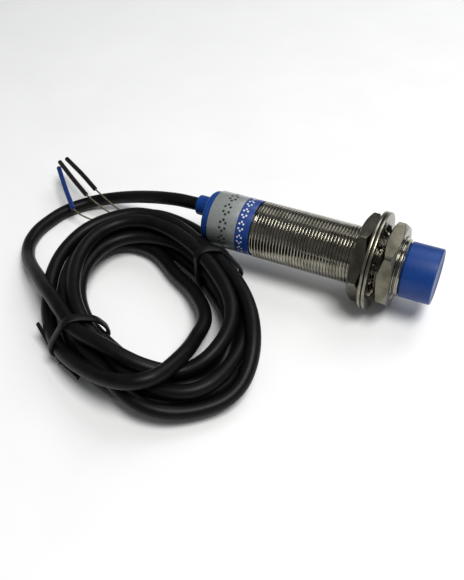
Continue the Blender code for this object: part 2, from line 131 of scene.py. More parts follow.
def new_material(name, **sockets):
    """A Principled material with fixed socket values, and its node tree."""
    made = bpy.data.materials.new(name)
    made.use_nodes = True
    tree = made.node_tree
    shader = tree.nodes["Principled BSDF"]
    for socket, value in sockets.items():
        shader.inputs[socket.replace("_", " ")].default_value = value
    return made, tree, shader


def add(tree, kind, **values):
    """A node with some properties or input values set by name."""
    node = tree.nodes.new("ShaderNode" + kind)
    for key, value in values.items():
        if hasattr(node, key):
            setattr(node, key, value)
        else:
            node.inputs[key.replace("_", " ")].default_value = value
    return node


def object_coordinates(tree, stretch=(1, 1, 1)):
    """Object coordinates, scaled by `stretch`."""
    place = add(tree, "TexCoord")
    mapping = add(tree, "Mapping", Scale=stretch)
    tree.links.new(place.outputs["Object"], mapping.inputs["Vector"])
    return mapping.outputs["Vector"]


def noise(tree, vector, per_metre, detail=3.0, rough=0.55):
    """A noise factor whose features come about `per_metre` to the metre."""
    node = add(tree, "TexNoise", Scale=per_metre, Detail=detail, Roughness=rough)
    tree.links.new(vector, node.inputs["Vector"])
    return node.outputs["Fac"]


def ramp(tree, fac, stops):
    """A colour ramp through (place, colour) stops."""
    node = add(tree, "ValToRGB")
    band = node.color_ramp
    while len(band.elements) < len(stops):
        band.elements.new(0.5)
    for element, (place, colour) in zip(band.elements, stops):
        element.position = place
        element.color = colour
    tree.links.new(fac, node.inputs["Fac"])
    return node.outputs["Color"]


def spread(tree, fac, lowest, highest, start=0.3, end=0.7):
    """Maps a factor to a range of values."""
    node = add(tree, "MapRange")
    for key, value in (("From Min", start), ("From Max", end), ("To Min", lowest),
                       ("To Max", highest)):
        node.inputs[key].default_value = value
    tree.links.new(fac, node.inputs["Value"])
    return node.outputs["Result"]


def bump(tree, shader, height, distance, strength=1.0):
    """Roughens a shader's surface by a height factor."""
    node = add(tree, "Bump", Strength=strength, Distance=distance)
    tree.links.new(height, node.inputs["Height"])
    tree.links.new(node.outputs["Normal"], shader.inputs["Normal"])


def mottled(name, dark, light, per_metre, roughness, depth=0.0, stretch=(1, 1, 1), **sockets):
    """Colour that drifts between two tones, with grain in the roughness and the surface."""
    made, tree, shader = new_material(name, **sockets)
    vector = object_coordinates(tree, stretch)
    broad = noise(tree, vector, per_metre)
    grain = noise(tree, vector, per_metre * GRAIN_FINER, 4.0, 0.65)
    tree.links.new(ramp(tree, broad, [(0.32, dark), (0.68, light)]), shader.inputs["Base Color"])
    tree.links.new(spread(tree, grain, *roughness), shader.inputs["Roughness"])
    if depth:
        bump(tree, shader, grain, depth)
    return made


def label_material():
    """Brushed silver film with a printed blue band at its front end."""
    made, tree, shader = new_material("label_film", Coat_Weight=0.35, Coat_Roughness=0.18)
    vector = object_coordinates(tree)
    split = add(tree, "SeparateXYZ")
    tree.links.new(vector, split.inputs["Vector"])
    edge = spread(tree, split.outputs["X"], 0.0, 1.0, BAND_X - BAND_BLUR, BAND_X + BAND_BLUR)
    streaks = noise(tree, object_coordinates(tree, (9, 1, 1)), 900)
    grain = noise(tree, vector, 5200, 4.0, 0.7)
    silver = ramp(tree, streaks, [(0.3, srgb(168, 173, 172)), (0.7, srgb(204, 208, 205))])
    blue = ramp(tree, streaks, [(0.3, srgb(12, 50, 118)), (0.7, srgb(20, 64, 136))])
    mix = add(tree, "Mix", data_type="RGBA")
    tree.links.new(edge, mix.inputs["Factor"])
    tree.links.new(silver, mix.inputs[MIX_COLOUR_A])
    tree.links.new(blue, mix.inputs[MIX_COLOUR_B])
    tree.links.new(mix.outputs[MIX_COLOUR_OUT], shader.inputs["Base Color"])
    tree.links.new(spread(tree, edge, 0.75, 0.1, 0, 1), shader.inputs["Metallic"])
    tree.links.new(spread(tree, grain, 0.3, 0.44), shader.inputs["Roughness"])
    bump(tree, shader, grain, 0.015 * MM)
    return made


def turned_metal(name, dark, light, roughness, rings_per_metre):
    """Plated metal with fine turning marks about the barrel's axis and a little tarnish."""
    made, tree, shader = new_material(name, Metallic=1.0)
    place = add(tree, "TexCoord")
    split = add(tree, "SeparateXYZ")
    tree.links.new(place.outputs["Object"], split.inputs["Vector"])
    lower = add(tree, "Math", operation="SUBTRACT")  # Z measured from the barrel's axis
    lower.inputs[1].default_value = AXIS_Z
    tree.links.new(split.outputs["Z"], lower.inputs[0])
    radial = add(tree, "CombineXYZ")
    tree.links.new(split.outputs["Y"], radial.inputs["X"])
    tree.links.new(lower.outputs[0], radial.inputs["Y"])
    length = add(tree, "VectorMath", operation="LENGTH")
    tree.links.new(radial.outputs["Vector"], length.inputs[0])
    rings_at = add(tree, "CombineXYZ")
    tree.links.new(length.outputs["Value"], rings_at.inputs["X"])
    rings = noise(tree, rings_at.outputs["Vector"], rings_per_metre, 2.0)
    vector = object_coordinates(tree)
    tarnish = noise(tree, vector, 260)
    grain = noise(tree, vector, 3000, 4.0, 0.7)
    tree.links.new(ramp(tree, tarnish, [(0.35, dark), (0.65, light)]), shader.inputs["Base Color"])
    tree.links.new(spread(tree, grain, *roughness), shader.inputs["Roughness"])
    bump(tree, shader, rings, 0.02 * MM, 0.5)
    return made


# Each look's darker and lighter tone, features to the metre, roughness range and grain depth
LOOKS = {
    "nickel": turned_metal("nickel_plate", srgb(132, 129, 118), srgb(168, 165, 153),
                           (0.08, 0.18), 2600),
    "nickel_nut": turned_metal("nut_plate", srgb(92, 89, 77), srgb(118, 115, 102),
                               (0.14, 0.28), 2600),
    "zinc": turned_metal("zinc_plate", srgb(118, 114, 102), srgb(150, 146, 134), (0.2, 0.36), 1800),
    "blue_plastic": mottled("blue_plastic", srgb(9, 52, 118), srgb(15, 61, 131), 300, (0.36, 0.48),
                            0.012 * MM, Specular_IOR_Level=0.28),
    "label_foil": label_material(),
    "red_lens": mottled("red_lens", srgb(120, 10, 8), srgb(150, 16, 12), 500, (0.1, 0.2),
                        Transmission_Weight=0.35, IOR=1.49),
    "diode_glass": mottled("diode_glass", srgb(150, 60, 30), srgb(190, 90, 50), 900, (0.08, 0.18),
                           Coat_Weight=0.5),
    "ferrite": mottled("ferrite", srgb(44, 44, 47), srgb(66, 66, 70), 1800, (0.5, 0.7), 0.03 * MM),
    "nylon": mottled("nylon", srgb(214, 208, 192), srgb(230, 226, 212), 500, (0.4, 0.5),
                     0.01 * MM, Subsurface_Weight=0.05),
    "resin": mottled("potting_resin", srgb(60, 46, 34), srgb(88, 68, 48), 350, (0.15, 0.4),
                     0.02 * MM),
    "copper": mottled("enamelled_copper", srgb(150, 72, 36), srgb(196, 104, 58), 2500, (0.2, 0.34),
                      0.02 * MM, (8, 1, 1), Metallic=1.0),
    "board": mottled("board_laminate", srgb(14, 74, 40), srgb(22, 96, 54), 1200, (0.3, 0.5),
                     0.01 * MM),
    "chip_black": mottled("moulded_black", srgb(24, 24, 26), srgb(36, 36, 38), 1500, (0.45, 0.65),
                          0.02 * MM),
    "ceramic_chip": mottled("ceramic_chip", srgb(150, 122, 88), srgb(172, 144, 106), 1500,
                            (0.4, 0.55), 0.01 * MM),
    "can_aluminium": mottled("can_aluminium", srgb(170, 172, 174), srgb(196, 198, 200), 900,
                             (0.22, 0.36), Metallic=1.0),
    "cable_pvc": mottled("cable_pvc", srgb(6, 6, 6), srgb(13, 13, 13), 420, (0.36, 0.48),
                         0.012 * MM, Specular_IOR_Level=0.15),
    "tie_plastic": mottled("tie_plastic", srgb(5, 5, 6), srgb(11, 11, 12), 900, (0.4, 0.52),
                           0.02 * MM, Specular_IOR_Level=0.22),
    "brown_insulation": mottled("brown_insulation", srgb(20, 13, 10), srgb(32, 22, 18), 700,
                                (0.35, 0.5), 0.01 * MM, Specular_IOR_Level=0.25),
    "black_insulation": mottled("black_insulation", srgb(8, 8, 9), srgb(16, 16, 17), 700,
                                (0.35, 0.5), 0.01 * MM, Specular_IOR_Level=0.25),
    "blue_insulation": mottled("blue_insulation", srgb(8, 36, 96), srgb(14, 46, 112), 700,
                               (0.35, 0.5), 0.01 * MM, Specular_IOR_Level=0.25),
    "bare_copper": mottled("tinned_strands", srgb(92, 84, 70), srgb(136, 126, 108), 2500,
                           (0.28, 0.42), 0.01 * MM, Metallic=1.0),
    "black_ink": mottled("black_ink", srgb(22, 22, 24), srgb(40, 40, 42), 2200, (0.4, 0.6)),
    "white_ink": mottled("white_ink", srgb(206, 212, 220), srgb(232, 236, 240), 2200, (0.4, 0.6)),
}

# The CAD nodes that scene.py shows as they are, by their slot
CAD_LOOKS = {
    "red_lens": ["led_window", "indicator_led"],
    "diode_glass": ["protection_diode"],
    "ferrite": ["ferrite_core"],
    "nylon": ["core_carrier", "coil_bobbin"],
    "resin": ["potting_plug"],
    "copper": ["coil_winding", "coil_lead_a", "coil_lead_b"],
    "board": ["circuit_board"],
    "chip_black": ["oscillator_chip", "output_transistor", "resistor_1", "resistor_2",
                   "resistor_3"],
    "ceramic_chip": ["capacitor_1", "capacitor_2"],
    "can_aluminium": ["smoothing_capacitor"],
    "cable_pvc": ["cable_jacket_end"],
    "zinc": ["crimp_ring"],
    "brown_insulation": ["brown_conductor"],
    "black_insulation": ["black_conductor"],
    "blue_insulation": ["blue_conductor"],
}


def dress_cad_nodes():
    """Procedural materials for the CAD nodes that stay in view or inside the sensor."""
    for slot, names in CAD_LOOKS.items():
        for name in names:
            materials = NODES[name].data.materials
            materials.clear()
            materials.append(LOOKS[slot])


# ---------------------------------------------------------------- helpers

SMOOTH_ANGLE = 32  # degrees: sharper edges stay crisp
MERGE_DISTANCE = 2e-7
ROUND_SHARE = 0.45  # the most of a side that one rounded corner may take


def show(obj, slot, body="root", stands_for=()):
    """Gives a piece the material of its slot and its body, and hides the CAD nodes that it stands
    for.
    """
    obj.data.materials.append(LOOKS[slot])
    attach(obj, body)
    if stands_for:
        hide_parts(*stands_for)
    return obj


def link(name, data):
    made = bpy.data.objects.new(name, data)
    bpy.context.scene.collection.objects.link(made)
    return made


def mesh_piece(name, verts, faces, smooth_angle=SMOOTH_ANGLE):
    """A clean mesh from points and faces, doubles merged and normals pointing out."""
    bm = bmesh.new()
    points = [bm.verts.new(v) for v in verts]
    for face in faces:
        bm.faces.new([points[i] for i in face])
    bmesh.ops.remove_doubles(bm, verts=bm.verts, dist=MERGE_DISTANCE)
    bmesh.ops.recalc_face_normals(bm, faces=bm.faces)
    data = bpy.data.meshes.new(name)
    bm.to_mesh(data)
    bm.free()
    data.shade_smooth()
    data.set_sharp_from_angle(angle=math.radians(smooth_angle))
    return link(name, data)


def skin_faces(rows, count, wrap, first=0):
    """Quads between neighbouring closed rows of `count` points each."""
    faces = []
    for a in range(rows if wrap else rows - 1):
        b = (a + 1) % rows
        for j in range(count):
            k = (j + 1) % count
            faces.append((first + a * count + j, first + a * count + k,
                          first + b * count + k, first + b * count + j))
    return faces


def end_caps(rows, count):
    """The two faces that close a skin of open rows."""
    return [tuple(range(count)), tuple(range((rows - 1) * count, rows * count))]


def around(x, radius, angle, y=0.0):
    """A point at an angle about the barrel's axis, measured from -Y up towards +Z."""
    return (x, y - radius * math.cos(angle), AXIS_Z + radius * math.sin(angle))


def soften(outline, radius, steps, closed=True):
    """Rounds the corners of an outline of (x, radius) points."""
    made = []
    points = [Vector(p) for p in outline]
    for i, corner in enumerate(points):
        if not closed and i in (0, len(points) - 1):
            made.append(tuple(corner))
            continue
        back = points[i - 1] - corner
        ahead = points[(i + 1) % len(points)] - corner
        start = corner + back.normalized() * min(radius, back.length * ROUND_SHARE)
        end = corner + ahead.normalized() * min(radius, ahead.length * ROUND_SHARE)
        for s in range(steps + 1):
            t = s / steps
            made.append(tuple((1 - t) ** 2 * start + 2 * t * (1 - t) * corner + t * t * end))
    return made


def turned(name, outline, segments, y=0.0, closed=True):
    """A solid turned about the barrel's axis, or about a parallel axis at y."""
    turns = [2 * math.pi * j / segments for j in range(segments)]
    verts = [around(x, max(r, 0.0), a, y) for x, r in outline for a in turns]
    return mesh_piece(name, verts, skin_faces(len(outline), segments, closed))


def unite(target, tool, operation="UNION"):
    """Joins or cuts with a tool mesh, then applies it."""
    step = target.modifiers.new("join", "BOOLEAN")
    step.object = tool
    step.operation = operation
    graph = bpy.context.evaluated_depsgraph_get()
    made = bpy.data.meshes.new_from_object(target.evaluated_get(graph))
    target.modifiers.clear()
    target.data = made
    bpy.data.objects.remove(tool)
    made.shade_smooth()
    made.set_sharp_from_angle(angle=math.radians(SMOOTH_ANGLE))


# ---------------------------------------------------------------- camera

CAMERA_AT = Vector((54.8, -156.7, 156.1)) * MM
LOOK_AT = Vector((-14.87, -23.93, 10.0)) * MM
CAMERA_ROLL = math.radians(-2.91)
LENS = 43.448
SENSOR_WIDTH = 36.0
NEAR_CLIP = 0.01


def make_camera():
    data = bpy.data.cameras.new("camera")
    data.lens = LENS
    data.sensor_width = SENSOR_WIDTH
    data.clip_start = NEAR_CLIP
    made = link("camera", data)
    aim = (LOOK_AT - CAMERA_AT).to_track_quat("-Z", "Y").to_matrix().to_4x4()
    roll = Matrix.Rotation(CAMERA_ROLL, 4, "Z")
    made.matrix_world = Matrix.Translation(CAMERA_AT) @ aim @ roll
    bpy.context.scene.camera = made


# ---------------------------------------------------------------- cable

# From the neck down to the floor and round to the side of the bundle, in millimetres
LEAD_ROUTE = [
    (-40.3, 3.8, 15.0), (-47.1, 3.8, 14.7), (-52.5, 4.2, 13.6), (-58.4, 5.0, 11.8),
    (-67.5, 6.3, 8.4), (-76.2, 6.5, 5.2), (-83.7, 4.3, 3.2), (-88.9, -0.5, 2.5),
    (-91.9, -5.6, 2.3), (-93.4, -11.7, 2.25), (-93.8, -17.4, 2.25), (-92.2, -24.0, 2.4),
    (-88.0, -30.0, 3.4), (-82.1, -35.4, 5.8), (-73.7, -41.6, 9.2), (-66.0, -47.0, 11.6),
    (-60.5, -50.4, 12.7), (-54.5, -54.2, 13.2),
]
# The far end, where the cable leaves the bundle behind the lead
TAIL_ROUTE = [
    (-21.4, -11.0, 3.1), (-24.6, -7.2, 2.8), (-28.8, -3.3, 2.6), (-33.2, -0.1, 2.4),
    (-37.8, 2.5, 2.3), (-42.5, 4.5, 2.25), (-47.5, 5.8, 2.25), (-52.5, 6.6, 2.25),
    (-57.5, 6.8, 2.25), (-62.3, 5.7, 2.25), (-66.5, 2.9, 2.25),
]

COIL_CENTRE = Vector((-37.3, -36.2, 0.0)) * MM
COIL_MAJOR_TURN = math.radians(-42)
COIL_OUTER = (46.5 * MM, 30.0 * MM)
COIL_INNER = (26.5 * MM, 16.8 * MM)

# Where each turn lies in the bundle at every twelfth of the oval, from the front tie on: its place
# from the inner edge (0) to the outer edge (1), and the height of its middle in millimetres
STATION = 30  # degrees between stations
FIRST_STATION = -90
TURNS = [
    [(.68, 12.8), (.21, 12.6), (.09, 10.4), (.08, 7.9), (.28, 9.9), (.50, 12.1),
     (.30, 13.2), (.27, 13.4), (.34, 12.8), (.32, 12.1), (.26, 11.9), (.20, 11.9)],
    [(.18, 12.0), (.08, 8.4), (.33, 7.6), (.57, 7.8), (.69, 8.0), (.84, 8.0),
     (.75, 8.2), (.74, 8.2), (.62, 7.8), (.50, 7.8), (.52, 7.8), (.54, 7.9)],
    [(.50, 7.9), (.50, 7.9), (.76, 6.0), (.78, 3.9), (.98, 5.4), (1.0, 11.9),
     (.88, 12.4), (.75, 12.8), (.68, 11.9), (.60, 11.3), (.82, 10.2), (1.17, 8.2)],
    [(1.22, 6.4), (.88, 10.2), (.65, 14.0), (.05, 11.9), (-.30, 8.3), (-.31, 6.5),
     (-.45, 4.7), (-.41, 3.9), (.10, 3.7), (.33, 3.7), (.36, 3.7), (.27, 3.7)],
    [(.14, 3.7), (.18, 3.7), (.18, 3.7), (.22, 3.7), (.43, 3.7), (.46, 7.9),
     (.26, 8.6), (.25, 8.5), (.18, 7.8), (.15, 7.8), (.14, 7.8), (.14, 7.9)],
    [(.05, 7.9), (-.20, 5.0), (-.13, 3.7), (-.06, 3.7), (.12, 3.7), (.46, 3.7),
     (.24, 3.7), (.16, 3.7), (.43, 3.7), (.64, 3.7), (.69, 3.7), (.69, 3.7)],
    [(.63, 3.7), (.60, 3.7), (.50, 3.7), (.50, 3.7), (.72, 3.7), (.90, 3.7),
     (.97, 3.7)],
]
TURN_STEP = 5  # degrees between the points of a turn
BUNDLE_REST = 3.7 * MM  # lowest middle of a strand in the bundle, held off the floor by the ties
ROUTE_STEP = 3 * MM  # between the points of the lead and the tail
CABLE_STEP = 1.6 * MM  # between the points of the finished cable

PUSH_ROUNDS = 240
PUSH_SHARE = 0.3  # of an overlap that one round takes away
SMOOTHING = 0.22
RECALL = 0.999  # draws the points slowly back to their route
NEIGHBOURS = 6  # points this near along the cable may touch
START_EASE, END_EASE = 8, 6  # points over which the pushes set in and fade
FLOOR_EASE = 8  # points before the tail that may already sink to the floor
LEAD_FREE, TAIL_FREE = 6, 2  # points of the lead and the tail that are pushed like the turns
STRAND_GAP = 0.02 * MM
SENSOR_GAP = 0.1 * MM
TINY = 1e-6


def oval(radii, angle):
    flat = Vector((radii[0] * math.cos(angle), radii[1] * math.sin(angle), 0.0))
    return COIL_CENTRE + Matrix.Rotation(COIL_MAJOR_TURN, 3, "Z") @ flat


def bundle_point(angle, across, height):
    """A cable middle in the bundle at an angle about the oval."""
    inner, outer = oval(COIL_INNER, angle), oval(COIL_OUTER, angle)
    out = (outer - inner).normalized()
    start, end = inner + out * CABLE_R, outer - out * CABLE_R
    point = start.lerp(end, across)
    point.z = height * MM
    return point


def between(before, start, end, after, t):
    """A place on the smooth curve from `start` to `end`, given their neighbours."""
    return 0.5 * (2 * start + (end - before) * t
                  + (2 * before - 5 * start + 4 * end - after) * t * t
                  + (3 * start - before - 3 * end + after) * t ** 3)


def smooth_route(points, step):
    """Points about `step` apart along a smooth curve through the route's own points."""
    ends = [2 * points[0] - points[1]] + points + [2 * points[-1] - points[-2]]
    path = []
    for before, start, end, after in zip(ends, ends[1:], ends[2:], ends[3:]):
        count = max(1, round((end - start).length / step))
        path += [between(before, start, end, after, i / count) for i in range(count)]
    path.append(points[-1])
    return path


def coil_points():
    """Middle points of all the turns, a smooth curve through the stations of the bundle."""
    slots = [Vector(slot) for turn in TURNS for slot in turn]
    ends = [slots[0]] + slots + [slots[-1]]
    path = []
    last = FIRST_STATION + STATION * (len(slots) - 1)
    angle = FIRST_STATION + 2 * TURN_STEP
    while angle <= last:
        along = (angle - FIRST_STATION) / STATION
        i = min(int(along), len(slots) - 2)
        slot = between(*ends[i:i + 4], along - i)
        path.append(bundle_point(math.radians(angle), slot.x, slot.y))
        angle += TURN_STEP
    return path


def clear_of_sensor(p):
    """The moves that bring cable points out of the sensor's rear end."""
    off_axis = np.maximum(np.hypot(p[:, 1], p[:, 2] - AXIS_Z), TINY)
    past_side = off_axis - LABEL_R
    past_end = FLANGE_REAR_X - p[:, 0]
    side, end = np.maximum(past_side, 0.0), np.maximum(past_end, 0.0)
    outside = np.hypot(side, end)
    gap = np.where(outside > 0, outside, np.maximum(past_side, past_end))
    short = np.clip(CABLE_R + SENSOR_GAP - gap, 0.0, None)
    by_side = np.where(outside > 0, side / np.maximum(outside, TINY), past_side > past_end)
    by_end = np.where(outside > 0, end / np.maximum(outside, TINY), past_side <= past_end)
    moves = np.zeros_like(p)
    moves[:, 0] = -short * by_end
    moves[:, 1] = short * by_side * p[:, 1] / off_axis
    moves[:, 2] = short * by_side * (p[:, 2] - AXIS_Z) / off_axis
    return moves


def apart(p, apart_along):
    """The moves that part cable points which lie nearer than the cable is thick."""
    gap = 2 * CABLE_R + STRAND_GAP
    delta = p[:, None, :] - p[None, :, :]
    distance = np.linalg.norm(delta, axis=2)
    close = (distance < gap) & apart_along
    push = np.where(close, (gap - distance) / np.maximum(distance, TINY), 0.0)
    return (delta * push[:, :, None]).sum(1)


def keep_apart(path, pinned, loose_end):
    """Pushes the turns of the cable off each other, off the floor and off the barrel.

    The first `pinned` points and the last `loose_end` points keep to their own route."""
    start = np.array([tuple(v) for v in path])
    shift = np.zeros_like(start)
    index = np.arange(len(start))
    apart_along = np.abs(index[:, None] - index[None, :]) > NEIGHBOURS
    free = np.clip((index - pinned) / START_EASE, 0.0, 1.0)
    free = (free * np.clip((len(start) - loose_end - index) / END_EASE, 0.0, 1.0))[:, None]
    lowest = np.where(index > len(start) - loose_end - FLOOR_EASE, CABLE_R, BUNDLE_REST)
    for _ in range(PUSH_ROUNDS):
        shift += PUSH_SHARE * apart(start + shift, apart_along) * free
        shift += clear_of_sensor(start + shift) * free
        sunk = np.maximum(lowest - start[:, 2] - shift[:, 2], 0.0)
        shift[:, 2] += sunk * free[:, 0]
        shift[1:-1] += SMOOTHING * (shift[2:] + shift[:-2] - 2 * shift[1:-1]) * free[1:-1]
        shift *= RECALL
    return [Vector(v) for v in start + shift]


def cord_curve(name, points, radius, resolution=5):
    """A round cord: one open spline with a bevel."""
    data = bpy.data.curves.new(name, "CURVE")
    data.dimensions = "3D"
    data.bevel_depth = radius
    data.bevel_resolution = resolution
    data.use_fill_caps = True
    spline = data.splines.new("POLY")
    spline.points.add(len(points) - 1)
    for point, place in zip(spline.points, points):
        point.co = (*place, 1.0)
    spline.use_smooth = True
    return link(name, data)


def in_metres(route):
    return [Vector(p) * MM for p in route]


def make_cable():
    """The whole cable: neck to floor, over the bundle, seven turns, and out to its bare end."""
    lead = smooth_route(in_metres(LEAD_ROUTE), ROUTE_STEP)
    turns = coil_points()
    tail = smooth_route([turns[-1], *in_metres(TAIL_ROUTE)], ROUTE_STEP)[1:]
    path = keep_apart(lead + turns + tail, len(lead) - LEAD_FREE, len(tail) - TAIL_FREE)
    path = smooth_route(path, CABLE_STEP)
    made = cord_curve("cable", path, CABLE_R)
    show(made, "cable_pvc", stands_for=("cable_lead", "cable_coil", "cable_tail"))
    return made, path


# ---------------------------------------------------------------- ties and wire ends


def sweep(name, path, section, sides, closed=False):
    """A section of (side, out) points swept along a path, its side kept nearest to `sides`."""
    count = len(section)
    verts = []
    for i, point in enumerate(path):
        ahead = path[(i + 1) % len(path)] if closed or i + 1 < len(path) else point
        behind = path[i - 1] if closed or i > 0 else point
        along = (ahead - behind).normalized()
        side = (sides - along * sides.dot(along)).normalized()
        out = side.cross(along)
        verts += [point + side * a + out * b for a, b in section]
    faces = skin_faces(len(path), count, closed)
    if not closed:
        faces += end_caps(len(path), count)
    return mesh_piece(name, verts, faces, 50)


# Side of the bundle, place along its long axis, and how far each tie hangs loose on one side
TIES = {
    "tie_front": (-1, 6.0 * MM, 1.2 * MM),
    "tie_rear": (1, -5.2 * MM, 0.7 * MM),
}
TIE_SLACK_TURN = math.radians(-8)  # the way the loose side points, from level up
TIE_HALF_WIDTH = 1.3 * MM
TIE_HALF_THICK = 0.4 * MM
TIE_RIB, TIE_RIB_HALF = 0.3 * MM, 0.4 * MM  # height and half width of the rib over the wire
TIE_STEP = 1.0 * MM
TIE_RELAX_ROUNDS = 3
TIE_DIRECTIONS = 72  # points of a tie's outline before it is evened
TIE_REACH = (COIL_INNER[1] * 0.93, COIL_OUTER[1] * 1.1)  # between which its strands lie
TIE_GAP = 0.1 * MM
TIE_FLOOR_GAP = 0.2 * MM


def tie_section(narrowing=1.0):
    """Flat plastic strip with a wire rib down its middle, as (across, out) points."""
    w, t = TIE_HALF_WIDTH, TIE_HALF_THICK
    rib, top = TIE_RIB_HALF, TIE_HALF_THICK + TIE_RIB
    section = [(-w, -0.6 * t), (-0.8 * w, -t), (0.8 * w, -t), (w, -0.6 * t), (w, 0.6 * t),
               (0.8 * w, t), (rib, t), (0.6 * rib, top), (-0.6 * rib, top), (-rib, t),
               (-0.8 * w, t), (-w, 0.6 * t)]
    return [(a * narrowing, b) for a, b in section]


def tie_crossings(cable_path, long_axis, short_axis, shift, side):
    """Where strands cross the tie's plane on its side of the bundle, as (across, height)."""
    made = []
    for a, b in zip(cable_path, cable_path[1:]):
        u0, u1 = (a - COIL_CENTRE).dot(long_axis) - shift, (b - COIL_CENTRE).dot(long_axis) - shift
        middle = (a + b) / 2
        v = (middle - COIL_CENTRE).dot(short_axis)
        if u0 * u1 <= 0 and TIE_REACH[0] < v * side < TIE_REACH[1]:
            made.append((v, middle.z))
    return made


def tie_path(cable_path, side, shift, slack):
    """The shortest loop round the strands that cross the tie's plane, slack on one side."""
    turn = Matrix.Rotation(COIL_MAJOR_TURN, 3, "Z")
    long_axis, short_axis = turn @ Vector((1, 0, 0)), turn @ Vector((0, 1, 0))
    crossings = tie_crossings(cable_path, long_axis, short_axis, shift, side)
    loop = []
    for i in range(TIE_DIRECTIONS):
        angle = 2 * math.pi * i / TIE_DIRECTIONS
        normal = (math.cos(angle), math.sin(angle))
        v, z = max(crossings, key=lambda c: c[0] * normal[0] + c[1] * normal[1])
        off = CABLE_R + TIE_HALF_THICK + TIE_GAP
        off += slack * max(math.cos(angle - TIE_SLACK_TURN), 0.0)
        point = COIL_CENTRE + long_axis * shift + short_axis * (v + off * normal[0])
        point.z = max(z + off * normal[1], TIE_HALF_THICK + TIE_FLOOR_GAP)
        loop.append(point)
    return loop, long_axis


def evened(loop, step):
    """The same closed loop with points at even spacing."""
    path = loop + [loop[0]]
    along = [0.0]
    for a, b in zip(path, path[1:]):
        along.append(along[-1] + (b - a).length)
    count = int(along[-1] / step)
    made, k = [], 0
    for i in range(count):
        want = along[-1] * i / count
        while along[k + 1] < want:
            k += 1
        t = (want - along[k]) / max(along[k + 1] - along[k], 1e-9)
        made.append(path[k].lerp(path[k + 1], t))
    return made


def relaxed_loop(loop):
    """The closed loop with its corners eased."""
    for _ in range(TIE_RELAX_ROUNDS):
        loop = [(loop[i - 1] + 2 * p + loop[(i + 1) % len(loop)]) / 4 for i, p in enumerate(loop)]
    return loop


def make_ties(cable_path):
    """Two plastic-coated wire ties round the bundle; the front one shows its twisted ends."""
    made = []
    for name, placing in TIES.items():
        loop, long_axis = tie_path(cable_path, *placing)
        loop = relaxed_loop(evened(loop, TIE_STEP))
        tie = sweep(name + "_band", loop, tie_section(), long_axis, closed=True)
        show(tie, "tie_plastic", stands_for=(name,))
        made.append(tie)
    made += make_tie_ends()
    return made


# The front tie's two loose ends, in millimetres, from the twist at the bundle's outer foot
TIE_ENDS = {
    "tie_end_a": [(-50.6, -63.6, 3.4), (-53.5, -62.2, 4.0), (-58.0, -59.6, 5.2),
                  (-63.2, -56.4, 6.4)],
    "tie_end_b": [(-51.2, -63.3, 3.0), (-48.6, -64.7, 3.2), (-45.4, -65.9, 3.6),
                  (-41.8, -67.4, 4.2)],
}
TIE_END_NARROWING = 0.45
TIE_TWIST = [(-52.4, -62.4, 3.3), (-51.2, -63.3, 3.2), (-49.8, -64.2, 3.2)]
TIE_TWIST_R = 0.95 * MM
TIE_TWIST_LAY = 2.4 * MM  # length of one turn of the twist


def make_tie_ends():
    made = []
    for name, route in TIE_ENDS.items():
        path = smooth_route(in_metres(route), TIE_STEP)
        end = sweep(name, path, tie_section(TIE_END_NARROWING), Vector((0, 0, 1)))
        made.append(show(end, "tie_plastic"))
    core = smooth_route(in_metres(TIE_TWIST), 0.25 * MM)
    twist = lobed_cord("tie_twist", core, TIE_TWIST_R, 2, 0.45, TIE_TWIST_LAY)
    made.append(show(twist, "tie_plastic"))
    return made


def lobed_cord(name, path, radius, lobes, depth, lay):
    """Twisted strands: a round section with lobes, `depth` deep, that turn once every `lay`."""
    count = lobes * 6
    verts = []
    turned_by = 0.0
    for i, point in enumerate(path):
        ahead, behind = path[min(i + 1, len(path) - 1)], path[max(i - 1, 0)]
        along = (ahead - behind).normalized()
        side = along.cross(Vector((0.1, 0.2, 1))).normalized()
        out = side.cross(along)
        if i:
            turned_by += 2 * math.pi * (point - path[i - 1]).length / lay
        for j in range(count):
            a = 2 * math.pi * j / count
            r = radius * (1 - depth * 0.5 * (1 + math.cos(lobes * a)))
            verts.append(point + side * (r * math.cos(a + turned_by))
                         + out * (r * math.sin(a + turned_by)))
    faces = skin_faces(len(path), count, False) + end_caps(len(path), count)
    return mesh_piece(name, verts, faces, 75)


STRANDS_LAY = 3.2 * MM  # length of one turn of the strands
BARE_SHARE = 0.85  # of the route up to the slug's second point that is drawn bare
WIRE_ROUTES = {
    "blue": [(-68.2, 1.2, 2.3), (-76.0, -6.2, 4.2), (-85.6, -6.2, 6.4), (-93.5, 0.9, 7.8),
             (-103.8, 11.0, 8.0)],
    "brown": [(-68.2, 2.4, 3.2), (-73.5, -1.0, 4.6), (-85.2, 1.5, 7.6), (-93.4, 6.1, 8.6),
              (-104.9, 13.5, 8.8)],
    "black": [(-67.6, 3.6, 3.8), (-71.0, 0.6, 5.8), (-83.1, 4.5, 8.6), (-91.7, 9.1, 9.8),
              (-102.6, 15.1, 9.8)],
}


def make_wires():
    """The three conductor ends: bare twisted strands, then the slug of insulation on the tip."""
    made = []
    for colour, route in WIRE_ROUTES.items():
        points = in_metres(route)
        bare = smooth_route(points[:4], 0.3 * MM)
        bare = bare[:int(len(bare) * BARE_SHARE)]
        strand = lobed_cord(colour + "_strands", bare, STRANDS_R, 5, 0.3, STRANDS_LAY)
        made.append(show(strand, "bare_copper", stands_for=(colour + "_strand",)))
        slug_path = smooth_route(points[2:], 1 * MM)
        slug = cord_curve(colour + "_insulation", slug_path, CONDUCTOR_R, 3)
        made.append(show(slug, colour + "_insulation", stands_for=(colour + "_slug",)))
    return made


# ---------------------------------------------------------------- housing


def thread_radius(x, radius, start, end):
    """A thread point's radius, cut down by the 45 degree chamfers at both ends."""
    to_end = min(x - start, end - x)
    return THREAD_END_R if to_end <= 0 else min(radius, THREAD_END_R + to_end)


